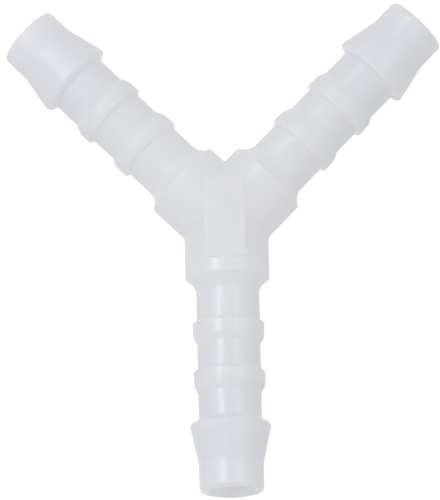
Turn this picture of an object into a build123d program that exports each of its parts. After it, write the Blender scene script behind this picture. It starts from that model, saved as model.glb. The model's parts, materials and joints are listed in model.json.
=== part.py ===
from build123d import *
import math
import os

# One-piece moulded Y connector for hoses of 8 mm bore.
# The three bores lie in the XY plane and cross at the origin. The stem points along -Y
# and the arms spread evenly to either side of +Y. All three legs share one turned outline.

# Layout
stem_heading = -90  # degrees from +X
arm_spread = 90  # degrees between the two arms

# Diameters, and heights above the neck
tip_diameter = 8.0  # plain pilot at the hose end, the size of the hose
wall = 1.1  # between the pilot and the bore
neck_depth = 0.1  # the neck lies this much under the pilot
rib_height = 0.54
barb_height = 1.12  # at its corner, before the crest is broken
collar_diameter = 10.4  # hub collars

# Lengths along a leg, from the crossing outwards
collar_length = 7.5
collar_gap = 5.45  # collar's edge to the first rib
rib_count = 2
rib_pitch = 6.12
barb_gap = 6.38  # last rib's hub side to the barb's foot
barb_length = 5.15  # barb's foot to the pilot
pilot_length = 3.6

# Shapes of the shoulder, the ribs and the barb
shoulder_radius = 2.1  # hollow curve from the collar down to the neck
rib_land = 1.8
rib_fall = 0.06  # drop in radius along the land
rib_ramp = 0.92  # slope in front of the land
barb_rake = 0.24  # how far its crest leans towards the hose end

# Broken edges
collar_edge = 0.15
rib_edge = 0.2
crest_edge = 0.25
tip_edge = 0.45
mouth_edge = 0.25
crotch_radius = 1.2  # hollow edges between the stem's collar and the arms'

# Raised label pad on the hub, left bare
pad_width = 5.04
pad_stem_side = 5.66  # crossing to its end towards the stem
pad_arm_side = 4.38  # crossing to its end between the arms
pad_rise = 0.24  # its face above the collars' crown
pad_corner_radius = 0.35
pad_edge = 0.12

# Worked out from the above
tip = tip_diameter / 2
bore = tip - wall
neck = tip - neck_depth
collar = collar_diameter / 2
hub_reach = collar_length - collar_edge  # the hub ends where the collars' broken edges start
first_rib = collar_length + collar_gap
barb_start = first_rib + (rib_count - 1) * rib_pitch + barb_gap
taper_end = barb_start + barb_length
leg_length = taper_end + pilot_length
leg_headings = [stem_heading, -stem_heading - arm_spread / 2, -stem_heading + arm_spread / 2]


def heading(angle):
    return Vector(math.cos(math.radians(angle)), math.sin(math.radians(angle)), 0)


def mitred_turnings(section):
    # the half section turned about each leg's axis and cut back to the planes half way to its neighbours
    turned = revolve(section, Axis.X)
    joined = Part()
    for own in leg_headings:
        turning = Rot(0, 0, own) * turned
        for other in leg_headings:
            if other != own:
                mitre = Plane(origin=(0, 0, 0), z_dir=heading(own) - heading(other))
                turning = split(turning, mitre, Keep.TOP)
        joined += turning
    return joined


def plain_collars(length):
    return mitred_turnings(make_face(Polyline((0, 0), (length, 0), (length, collar), (0, collar), (0, 0))))


def hub():
    # The notch between the arms stays sharp and the crotches beside the stem are rounded.
    # They are rounded on collars that run on past the hub, so that the roundings never meet an end.
    run_on = 3 * collar_diameter
    long_collars = plain_collars(run_on)

    def in_mitre(edge):
        points = [edge @ share for share in (0, 0.5, 1)]
        normals = [heading(a) - heading(b) for a in leg_headings for b in leg_headings if a < b]
        near = all(point.length < run_on / 2 for point in points)
        return near and any(all(abs(point.dot(n)) < 0.001 for point in points) for n in normals)

    rounded = fillet(long_collars.edges().filter_by(in_mitre), crotch_radius)
    stem_side = split(rounded, Plane.XZ, Keep.TOP)
    for angle in leg_headings:
        hub_end = Plane(origin=heading(angle) * hub_reach, z_dir=heading(angle))
        stem_side = split(stem_side, hub_end, Keep.BOTTOM)
    arm_side = split(plain_collars(hub_reach), Plane.XZ, Keep.BOTTOM)
    return stem_side + arm_side


def leg():
    # turned about X from the hub's end outwards: broken edge, hollow shoulder, ribs, barb and pilot
    rise = min(collar - collar_edge - neck, shoulder_radius)
    run = math.sqrt(rise * (2 * shoulder_radius - rise))
    curve_top, curve_foot = (collar_length, neck + rise), (collar_length + run, neck)
    curve = RadiusArc(curve_foot, curve_top, shoulder_radius)

    rib_corners, ribs = [], []
    for index in range(rib_count):
        start = first_rib + index * rib_pitch
        corner = (start, neck + rib_height)
        land_end = (start + rib_land, neck + rib_height - rib_fall)
        ramp_end = (start + rib_land + rib_ramp, neck)
        ribs += [(start, neck), corner, land_end, ramp_end]
        rib_corners.append(corner)
    crest = (barb_start + barb_rake, neck + barb_height)
    tip_corner = (leg_length, tip)
    corners = [curve_foot, *ribs, (barb_start, neck), crest, (taper_end, tip), tip_corner,
               (leg_length, 0), (hub_reach, 0), (hub_reach, collar), (collar_length, collar - collar_edge)]
    if collar - collar_edge - neck > shoulder_radius:
        corners.append(curve_top)
    section = make_face([curve, Polyline(*corners)])

    def at(places):
        return [section.vertices().sort_by_distance(place)[0] for place in places]

    section = chamfer(at(rib_corners), rib_edge)
    section = chamfer(at([crest]), crest_edge)
    section = chamfer(at([tip_corner]), tip_edge)
    return revolve(section, Axis.X)


def label_pad():
    height = collar + pad_rise
    length = pad_stem_side + pad_arm_side
    middle = (pad_arm_side - pad_stem_side) / 2
    block = Pos(0, middle, height / 2) * Box(pad_width, length, height)
    block = fillet(block.edges().filter_by(Axis.Z), pad_corner_radius)
    return chamfer(block.faces().sort_by(Axis.Z)[-1].edges(), pad_edge)


def bores():
    # the three core pins, each flared at its mouth to break the edge
    mouth = bore + mouth_edge
    beyond = leg_length + 1
    flare = [(leg_length - mouth_edge, bore), (leg_length, mouth), (beyond, mouth)]
    return mitred_turnings(make_face(Polyline((0, 0), (0, bore), *flare, (beyond, 0), (0, 0))))


body = hub() + [Rot(0, 0, angle) * leg() for angle in leg_headings] + label_pad()
y_connector = (body - bores()).solid()
y_connector.label = "y_connector"

os.makedirs("parts", exist_ok=True)
export_step(y_connector, "parts/y_connector.step")
print("volume", round(y_connector.volume, 2), "mm3, box", y_connector.bounding_box())
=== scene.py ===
import bmesh
import bpy
import itertools
import json
import math
from mathutils import Matrix, Vector


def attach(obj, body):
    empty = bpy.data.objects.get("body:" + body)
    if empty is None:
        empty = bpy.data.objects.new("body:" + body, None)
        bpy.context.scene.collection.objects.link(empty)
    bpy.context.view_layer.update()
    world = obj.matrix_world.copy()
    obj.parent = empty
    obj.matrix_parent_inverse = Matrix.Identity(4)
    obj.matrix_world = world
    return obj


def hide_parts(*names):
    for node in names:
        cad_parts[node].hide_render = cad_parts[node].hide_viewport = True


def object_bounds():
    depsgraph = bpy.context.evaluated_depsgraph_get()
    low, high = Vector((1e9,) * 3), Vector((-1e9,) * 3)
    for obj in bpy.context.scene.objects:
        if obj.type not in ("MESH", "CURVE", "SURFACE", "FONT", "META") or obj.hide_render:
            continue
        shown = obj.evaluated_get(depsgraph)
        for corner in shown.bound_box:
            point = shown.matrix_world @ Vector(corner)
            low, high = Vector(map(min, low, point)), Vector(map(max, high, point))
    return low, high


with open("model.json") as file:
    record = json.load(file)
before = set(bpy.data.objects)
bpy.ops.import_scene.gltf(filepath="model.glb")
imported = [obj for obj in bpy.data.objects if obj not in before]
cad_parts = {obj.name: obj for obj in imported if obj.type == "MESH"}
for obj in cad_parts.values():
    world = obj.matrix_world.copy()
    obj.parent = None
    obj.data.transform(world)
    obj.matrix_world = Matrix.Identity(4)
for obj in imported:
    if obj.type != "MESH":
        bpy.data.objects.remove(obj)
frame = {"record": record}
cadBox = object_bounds()
bpy.ops.object.select_all(action="DESELECT")
print("frame loaded")

mm = 0.001


def addNode(tree, kind, place, **values):
    node = tree.nodes.new(kind)
    node.location = place
    for name, value in values.items():
        setattr(node, name, value)
    return node


def noise(tree, coords, s, name, place):
    node = addNode(tree, "ShaderNodeTexNoise", place)
    node.inputs["Scale"].default_value = 1 / s[name + "Size"]
    node.inputs["Detail"].default_value = s[name + "Detail"]
    tree.links.new(coords, node.inputs["Vector"])
    return node.outputs["Fac"]


def ranged(tree, value, before, after, place):
    # the range before, brought to the range after
    node = addNode(tree, "ShaderNodeMapRange", place)
    for end, low, high in (("From", *before), ("To", *after)):
        node.inputs[end + " Min"].default_value = low
        node.inputs[end + " Max"].default_value = high
    tree.links.new(value, node.inputs["Value"])
    return node.outputs["Result"]


def bump(tree, height, distance, place, under=None):
    node = addNode(tree, "ShaderNodeBump", place)
    node.inputs["Distance"].default_value = distance
    tree.links.new(height, node.inputs["Height"])
    if under:
        tree.links.new(under, node.inputs["Normal"])
    return node.outputs["Normal"]


# natural polypropylene: milky, a little blue, with a fine moulded skin
plasticSettings = {
    "paintedHubColour": (0.968, 0.971, 0.988, 1),  # painted lighter in the thick hub, standing in for the light it gives back there
    "thinColour": (0.89, 0.895, 0.92, 1),
    "thickTo": 8 * mm,  # from the crossing of the bores
    "thinFrom": 30 * mm,
    "cloudSize": 6 * mm,
    "cloudDetail": 2,
    "cloudNoise": (0.2, 0.8),  # the part of the noise that is used
    "cloudDepth": 0.02,
    "throughColour": (0.91, 0.91, 0.91, 1),
    "through": 0.46,  # share of the light that passes through the skin
    "roughnessSize": 3 * mm,
    "roughnessDetail": 3,
    "roughnessNoise": (0.3, 0.7),
    "roughness": (0.285, 0.35),
    "depth": 1.7 * mm,  # how far light spreads in it
    "ior": 1.49,
    "shine": 1,
    "wavinessSize": 2.6 * mm,
    "wavinessDetail": 1,
    "wavinessHeight": 0.034 * mm,
    "grainSize": 0.12 * mm,
    "grainDetail": 2,
    "grainHeight": 0.0012 * mm,
    "partingWidth": 0.06 * mm,
    "partingHeight": 0.02 * mm,
}


def naturalPlastic():
    s = plasticSettings
    material = bpy.data.materials.new("naturalPlastic")
    material.use_nodes = True
    tree = material.node_tree
    shader = tree.nodes["Principled BSDF"]
    coords = addNode(tree, "ShaderNodeTexCoord", (-1400, 0)).outputs["Object"]

    # painted lighter where it is thick, standing in for light spread through the hub, with faint
    # clouds
    length = addNode(tree, "ShaderNodeVectorMath", (-1200, 500), operation="LENGTH")
    tree.links.new(coords, length.inputs[0])
    fromHub = (s["thickTo"], s["thinFrom"])
    thinness = ranged(tree, length.outputs["Value"], fromHub, (0, 1), (-1000, 500))
    clouds = noise(tree, coords, s, "cloud", (-1200, 250))
    clouds = ranged(tree, clouds, s["cloudNoise"], (1 - s["cloudDepth"], 1), (-1000, 250))
    # painted light: the colour is lifted towards the crossing of the bores
    paintedHubLight = addNode(tree, "ShaderNodeMix", (-700, 400), data_type="RGBA")
    tree.links.new(thinness, paintedHubLight.inputs["Factor"])
    paintedHubLight.inputs["A"].default_value = s["paintedHubColour"]
    paintedHubLight.inputs["B"].default_value = s["thinColour"]
    clouded = addNode(tree, "ShaderNodeVectorMath", (-400, 400), operation="SCALE")
    tree.links.new(paintedHubLight.outputs["Result"], clouded.inputs[0])
    tree.links.new(clouds, clouded.inputs["Scale"])
    tree.links.new(clouded.outputs["Vector"], shader.inputs["Base Color"])

    sheen = noise(tree, coords, s, "roughness", (-1100, 0))
    sheen = ranged(tree, sheen, s["roughnessNoise"], s["roughness"], (-900, 0))
    tree.links.new(sheen, shader.inputs["Roughness"])

    # the mould's halves met in the plane of the axes and left a fine line there
    height = addNode(tree, "ShaderNodeSeparateXYZ", (-1200, -300))
    tree.links.new(coords, height.inputs["Vector"])
    away = addNode(tree, "ShaderNodeMath", (-1000, -300), operation="ABSOLUTE")
    tree.links.new(height.outputs["Z"], away.inputs[0])
    line = ranged(tree, away.outputs["Value"], (0, s["partingWidth"]), (1, 0), (-800, -300))

    waves = noise(tree, coords, s, "waviness", (-1100, -600))
    grain = noise(tree, coords, s, "grain", (-1100, -900))
    normal = bump(tree, waves, s["wavinessHeight"], (-600, -600))
    normal = bump(tree, grain, s["grainHeight"], (-400, -600), normal)
    normal = bump(tree, line, s["partingHeight"], (-200, -600), normal)
    tree.links.new(normal, shader.inputs["Normal"])

    shader.inputs["Subsurface Weight"].default_value = 1
    shader.inputs["Subsurface Radius"].default_value = (1, 1, 1)
    shader.inputs["Subsurface Scale"].default_value = s["depth"]
    shader.inputs["IOR"].default_value = s["ior"]
    shader.inputs["Specular IOR Level"].default_value = s["shine"]

    # some of the light passes right through the thin walls
    through = addNode(tree, "ShaderNodeBsdfTranslucent", (300, -300))
    through.inputs["Color"].default_value = s["throughColour"]
    both = addNode(tree, "ShaderNodeMixShader", (600, 0))
    both.inputs["Fac"].default_value = s["through"]
    tree.links.new(shader.outputs["BSDF"], both.inputs[1])
    tree.links.new(through.outputs["BSDF"], both.inputs[2])
    tree.links.new(both.outputs["Shader"], tree.nodes["Material Output"].inputs["Surface"])
    return material


# the moulding: three equal legs, turned about their bores and mitred together, in millimetres
mounts = {mount["name"]: mount["dims"] for mount in frame["record"]["mounts"]}
near = 0.001  # two places this close are the same

legSettings = {
    "headings": (-90, 45, 135),  # degrees from +X, the stem first
    "sides": 120,
    "length": -cadBox[0].y / mm,
    "collar": -cadBox[0].z / mm,  # radii
    "neck": 3.9,
    "rib": 4.44,
    "ribLandEnd": 4.38,
    "barb": 5.05,
    "tip": mounts["stem_hose_end"]["r_mm"],
    "bore": mounts["stem_bore"]["r_mm"],
    "shoulderFoot": 9.37,  # places along the leg, from the crossing of the bores
    "ribStarts": (12.95, 19.07),
    "ribLand": 1.8,
    "ribRamp": 0.92,
    "barbStart": 25.45,
    "barbRake": 0.24,
    "barbLength": 5.15,
    "shoulderRadius": 2.1,
    "shoulderSteps": 10,
    "inside": 1,  # how far it starts beyond the crossing, before the mitres are cut
    "roundings": {  # how far each corner is cut back, and in how many steps
        "collarEdge": (0.2, 4),
        "ribFoot": (0.25, 5),
        "barbFoot": (0.4, 6),
        "ribEdge": (0.27, 5),
        "ribBend": (0.16, 3),
        "crest": (0.4, 7),
        "taperBend": (0.3, 3),
        "tipEdge": (0.58, 8),
        "mouth": (0.28, 5),
    },
}


def direction(degrees):
    return Vector((math.cos(math.radians(degrees)), math.sin(math.radians(degrees)), 0))


def roundEdges(piece, wanted, rounding):
    # in edit mode, the edges whose two ends pass are cut back so far, in so many steps
    offset, steps = rounding
    bpy.ops.mesh.select_mode(type="EDGE")
    bpy.ops.mesh.select_all(action="DESELECT")
    shape = bmesh.from_edit_mesh(piece.data)
    for edge in shape.edges:
        edge.select_set(wanted(*(vert.co for vert in edge.verts)))
    bmesh.update_edit_mesh(piece.data)
    bpy.ops.mesh.bevel(offset=offset, segments=steps, affect="EDGES")


def legCorners(s):
    # place along the leg, radius and rounding of each ring, out to the tip and back down the bore
    start = -s["inside"]
    corners = [(start, s["collar"], None)]
    centre = s["neck"] + s["shoulderRadius"]
    steep = math.acos((centre - s["collar"]) / s["shoulderRadius"])
    for step in range(s["shoulderSteps"] + 1):
        angle = steep * (1 - step / s["shoulderSteps"])
        along = s["shoulderFoot"] - s["shoulderRadius"] * math.sin(angle)
        radius = centre - s["shoulderRadius"] * math.cos(angle)
        corners.append((along, radius, None if step else "collarEdge"))
    for rib in s["ribStarts"]:
        landEnd = rib + s["ribLand"]
        corners.append((rib, s["neck"], "ribFoot"))
        corners.append((rib, s["rib"], "ribEdge"))
        corners.append((landEnd, s["ribLandEnd"], "ribBend"))
        corners.append((landEnd + s["ribRamp"], s["neck"], "ribBend"))
    corners.append((s["barbStart"], s["neck"], "barbFoot"))
    corners.append((s["barbStart"] + s["barbRake"], s["barb"], "crest"))
    corners.append((s["barbStart"] + s["barbLength"], s["tip"], "taperBend"))
    corners.append((s["length"], s["tip"], "tipEdge"))
    corners.append((s["length"], s["bore"], "mouth"))
    corners.append((start, s["bore"], None))
    return corners


def makeLeg():
    # a ring is drawn out along +X and sized from corner to corner, then the corners are rounded
    s = legSettings
    corners = legCorners(s)
    along, radius, _ = corners[0]
    bpy.ops.mesh.primitive_circle_add(
        vertices=s["sides"], radius=radius, location=(along, 0, 0), rotation=(0, math.pi / 2, 0)
    )
    leg = bpy.context.object
    bpy.ops.object.transform_apply(location=True, rotation=True, scale=True)
    bpy.ops.object.mode_set(mode="EDIT")
    bpy.ops.mesh.select_all(action="SELECT")
    for nextAlong, nextRadius, _ in corners[1:]:
        step = (nextAlong - along, 0, 0)
        bpy.ops.mesh.extrude_region_move(TRANSFORM_OT_translate={"value": step})
        factor = nextRadius / radius
        bpy.ops.transform.resize(value=(1, factor, factor), center_override=(nextAlong, 0, 0))
        along, radius = nextAlong, nextRadius
    for along, radius, name in corners:

        def onRing(*ends):
            return all(
                abs(p.x - along) < near and abs(math.hypot(p.y, p.z) - radius) < near for p in ends
            )

        if name:
            roundEdges(leg, onRing, s["roundings"][name])
    bpy.ops.object.mode_set(mode="OBJECT")
    return leg


def makeBody(leg):
    # each leg is cut back to the planes half way to its neighbours
    headings = legSettings["headings"]
    legs = []
    for own in headings:
        bpy.ops.object.select_all(action="DESELECT")
        leg.select_set(True)
        bpy.context.view_layer.objects.active = leg
        bpy.ops.object.duplicate()
        copy = bpy.context.object
        copy.rotation_euler.z = math.radians(own)
        bpy.ops.object.transform_apply(rotation=True)
        bpy.context.view_layer.update()
        bpy.ops.object.mode_set(mode="EDIT")
        for other in headings:
            if other != own:
                bpy.ops.mesh.select_all(action="SELECT")
                away = (direction(own) - direction(other)).normalized()
                bpy.ops.mesh.bisect(
                    plane_co=(0, 0, 0), plane_no=away, clear_inner=True, threshold=near / 10
                )
        bpy.ops.object.mode_set(mode="OBJECT")
        legs.append(copy)
    bpy.data.objects.remove(leg)
    for each in legs:
        each.select_set(True)
    bpy.ops.object.join()
    body = bpy.context.object
    bpy.ops.object.mode_set(mode="EDIT")
    bpy.ops.mesh.select_all(action="SELECT")
    bpy.ops.mesh.remove_doubles(threshold=near)
    bpy.ops.mesh.normals_make_consistent(inside=False)
    bpy.ops.object.mode_set(mode="OBJECT")
    return body


hubSettings = {
    "crotchRadius": 1.2,
    "notchRadius": 0.2,
    "steps": 4,
    "flatTop": 8,  # degrees from the crown where the roundings have run out
    "faceting": 0.1,  # a collar's flats may lie this far inside its radius
    "sharpFrom": 35,  # degrees between two faces that aren't shaded as one
}


def roundHub(body):
    # as a ball would run along the mitres: wide at the sides, nothing at the level crown
    s = hubSettings
    headings = legSettings["headings"]
    stem = headings[0]
    outside = legSettings["collar"] - s["faceting"]
    offsets = {}
    for own, other in itertools.combinations(headings, 2):
        radius = s["crotchRadius"] if stem in (own, other) else s["notchRadius"]
        away = direction(own) - direction(other)
        bend = math.pi - direction(own).angle(direction(other))
        for edge in body.data.edges:
            ends = [body.data.vertices[v].co for v in edge.vertices]
            middle = (ends[0] + ends[1]) / 2
            sideways = direction(own).cross(middle).z
            fromCrown = math.atan2(abs(sideways), abs(middle.z))
            if (
                all(abs(end.dot(away)) < near for end in ends)
                and math.hypot(sideways, middle.z) > outside
                and math.degrees(fromCrown) > s["flatTop"]
            ):
                level, upright = math.cos(fromCrown) ** 2, math.sin(fromCrown) ** 2
                turn = math.acos(level + upright * math.cos(bend))
                offsets[edge.index] = radius * math.tan(turn / 2)
    widest = max(offsets.values())
    weights = body.data.attributes.new("bevel_weight_edge", "FLOAT", "EDGE")
    for index, offset in offsets.items():
        weights.data[index].value = offset / widest
    rounding = body.modifiers.new("rounding", "BEVEL")
    rounding.limit_method = "WEIGHT"
    rounding.width = widest
    rounding.segments = s["steps"]
    bpy.ops.object.modifier_apply(modifier="rounding")


padSettings = {
    "width": 5.04,
    "stemSide": 5.66,  # from the crossing to its ends
    "armSide": 4.38,
    "top": cadBox[1].z / mm,
    "foot": 3.5,  # sunk in the hub's wall, above the bores
    "cornerRadius": (0.35, 6),
    "edge": (0.23, 6),
}


def makePad():
    s = padSettings
    length = s["stemSide"] + s["armSide"]
    middle = (s["armSide"] - s["stemSide"]) / 2
    height = s["top"] - s["foot"]
    bpy.ops.mesh.primitive_cube_add(size=1, location=(0, middle, s["foot"] + height / 2))
    pad = bpy.context.object
    pad.scale = (s["width"], length, height)
    bpy.ops.object.transform_apply(location=True, scale=True)
    bpy.ops.object.mode_set(mode="EDIT")
    roundEdges(pad, lambda a, b: abs(a.z - b.z) > near, s["cornerRadius"])
    roundEdges(pad, lambda a, b: min(a.z, b.z) > s["top"] - near, s["edge"])
    bpy.ops.object.mode_set(mode="OBJECT")
    return pad


def addPad(body, pad):
    bpy.ops.object.select_all(action="DESELECT")
    body.select_set(True)
    bpy.context.view_layer.objects.active = body
    union = body.modifiers.new("union", "BOOLEAN")
    union.operation = "UNION"
    union.solver = "EXACT"
    union.object = pad
    bpy.ops.object.modifier_apply(modifier="union")
    bpy.data.objects.remove(pad)


def finishBody(body):
    # from millimetres to metres, with its small roundings shaded smooth
    body.name = "moulding"
    body.scale = (mm, mm, mm)
    bpy.ops.object.transform_apply(scale=True)
    bpy.ops.object.shade_smooth_by_angle(angle=math.radians(hubSettings["sharpFrom"]))
    body.modifiers.new("normals", "WEIGHTED_NORMAL").keep_sharp = True
    bpy.ops.object.modifier_apply(modifier="normals")


moulding = makeBody(makeLeg())
roundHub(moulding)
addPad(moulding, makePad())
finishBody(moulding)
print("moulding made", len(moulding.data.polygons), "faces")

moulding.data.materials.clear()
moulding.data.materials.append(naturalPlastic())
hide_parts("y_connector")
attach(moulding, "root")
print("plastic made")

# studio: white floor, plain world and four soft lamps
studioSettings = {
    "floorSize": 3,
    "floorColour": 0.8,
    "floorShown": 0.53,  # what it adds for the camera's eye, to show white
    "world": 0.56,
    "worldColour": (1, 0.995, 0.97, 1),
    "lampColour": (0.83, 0.865, 1),  # daylight, a little cooler than the room
    "lamps": {
        "key": {"towards": (-0.50, 0.16, 0.85), "away": 0.6, "size": 0.16, "power": 0.6},
        "back": {"towards": (-0.26, 0.46, 0.85), "away": 0.6, "size": 0.08, "power": 0.22},
        "fill": {"towards": (0.52, 0.16, 0.84), "away": 0.6, "size": 0.14, "power": 0.25},
        "front": {"towards": (-0.30, -0.62, 0.72), "away": 0.6, "size": 0.4, "power": 0.27},
    },
}


def shownWhite(tree, place):
    # 1 where the camera sees the background, straight or through gloss
    path = addNode(tree, "ShaderNodeLightPath", place)
    seen = path.outputs["Is Camera Ray"]
    for name in ("Is Glossy Ray", "Is Transmission Ray"):
        either = addNode(tree, "ShaderNodeMath", place, operation="MAXIMUM")
        tree.links.new(seen, either.inputs[0])
        tree.links.new(path.outputs[name], either.inputs[1])
        seen = either.outputs["Value"]
    return seen


def makeFloor():
    s = studioSettings
    bpy.ops.mesh.primitive_plane_add(size=s["floorSize"], location=(0, 0, cadBox[0].z))
    floor = bpy.context.object
    floor.name = "floor"
    material = bpy.data.materials.new("floorPaper")
    material.use_nodes = True
    tree = material.node_tree
    shader = tree.nodes["Principled BSDF"]
    shader.inputs["Base Color"].default_value = (s["floorColour"],) * 3 + (1,)
    shader.inputs["Roughness"].default_value = 1
    shader.inputs["Specular IOR Level"].default_value = 0
    shader.inputs["Emission Color"].default_value = (1, 1, 1, 1)
    shown = ranged(tree, shownWhite(tree, (-800, 0)), (0, 1), (0, s["floorShown"]), (-400, 0))
    tree.links.new(shown, shader.inputs["Emission Strength"])
    floor.data.materials.append(material)


def makeWorld():
    world = bpy.data.worlds.new("studio")
    bpy.context.scene.world = world
    world.use_nodes = True
    tree = world.node_tree
    back = tree.nodes["Background"]
    seen = shownWhite(tree, (-1200, 0))
    tint = addNode(tree, "ShaderNodeMix", (-400, 200), data_type="RGBA")
    tree.links.new(seen, tint.inputs["Factor"])
    tint.inputs["A"].default_value = studioSettings["worldColour"]
    tint.inputs["B"].default_value = (1, 1, 1, 1)
    tree.links.new(tint.outputs["Result"], back.inputs["Color"])
    shown = ranged(tree, seen, (0, 1), (studioSettings["world"], 1), (-400, 0))
    tree.links.new(shown, back.inputs["Strength"])


def makeLamp(name, s):
    data = bpy.data.lights.new(name, "AREA")
    data.shape = "DISK"
    data.size = s["size"]
    data.energy = s["power"]
    data.color = studioSettings["lampColour"]
    lamp = bpy.data.objects.new(name, data)
    bpy.context.scene.collection.objects.link(lamp)
    towards = Vector(s["towards"]).normalized()
    lamp.location = towards * s["away"]
    lamp.rotation_euler = towards.to_track_quat("Z", "Y").to_euler()


makeFloor()
makeWorld()
for lampName, lampSettings in studioSettings["lamps"].items():
    makeLamp(lampName, lampSettings)
print("studio made")

# camera: almost straight down on the part as it lies, far away with a long lens
viewSettings = {
    "tiltToStem": 12.56,  # degrees from straight down
    "tiltToRight": 1.75,
    "turn": -1.415,
    "image": (440, 500),
    "pixelSize": 0.1233 * mm,  # on the part
    "crossing": (226.15, 220.55),  # where the bores cross, in pixels
    "lens": 1440,
    "sensor": 36,
    "clip": (0.1, 20),
    "diffuseBounces": 12,  # light crosses many walls of the plastic
    "bounces": 24,
}


def makeCamera():
    s = viewSettings
    tilt = math.radians(math.hypot(s["tiltToStem"], s["tiltToRight"]))
    side = math.atan2(s["tiltToRight"], s["tiltToStem"])
    roll = math.radians(s["turn"]) - side
    lean = math.sin(tilt)
    back = Vector((math.sin(side) * lean, -math.cos(side) * lean, math.cos(tilt)))
    across = Vector((math.cos(side), math.sin(side), 0))
    upright = back.cross(across)
    right = across * math.cos(roll) + upright * math.sin(roll)
    up = upright * math.cos(roll) - across * math.sin(roll)
    wide, high = s["image"]
    offset = right * (wide / 2 - s["crossing"][0]) + up * (s["crossing"][1] - high / 2)
    distance = s["lens"] / s["sensor"] * high
    data = bpy.data.cameras.new("camera")
    data.lens = s["lens"]
    data.sensor_width = s["sensor"]
    data.clip_start, data.clip_end = s["clip"]
    camera = bpy.data.objects.new("camera", data)
    bpy.context.scene.collection.objects.link(camera)
    turned = Matrix((right, up, back)).transposed().to_4x4()
    camera.matrix_world = Matrix.Translation((offset + back * distance) * s["pixelSize"]) @ turned
    bpy.context.scene.camera = camera


makeCamera()
bpy.context.scene.cycles.diffuse_bounces = viewSettings["diffuseBounces"]
bpy.context.scene.cycles.transmission_bounces = viewSettings["bounces"]
bpy.context.scene.cycles.max_bounces = viewSettings["bounces"]
bpy.context.scene.view_settings.view_transform = "Standard"
print("camera made")
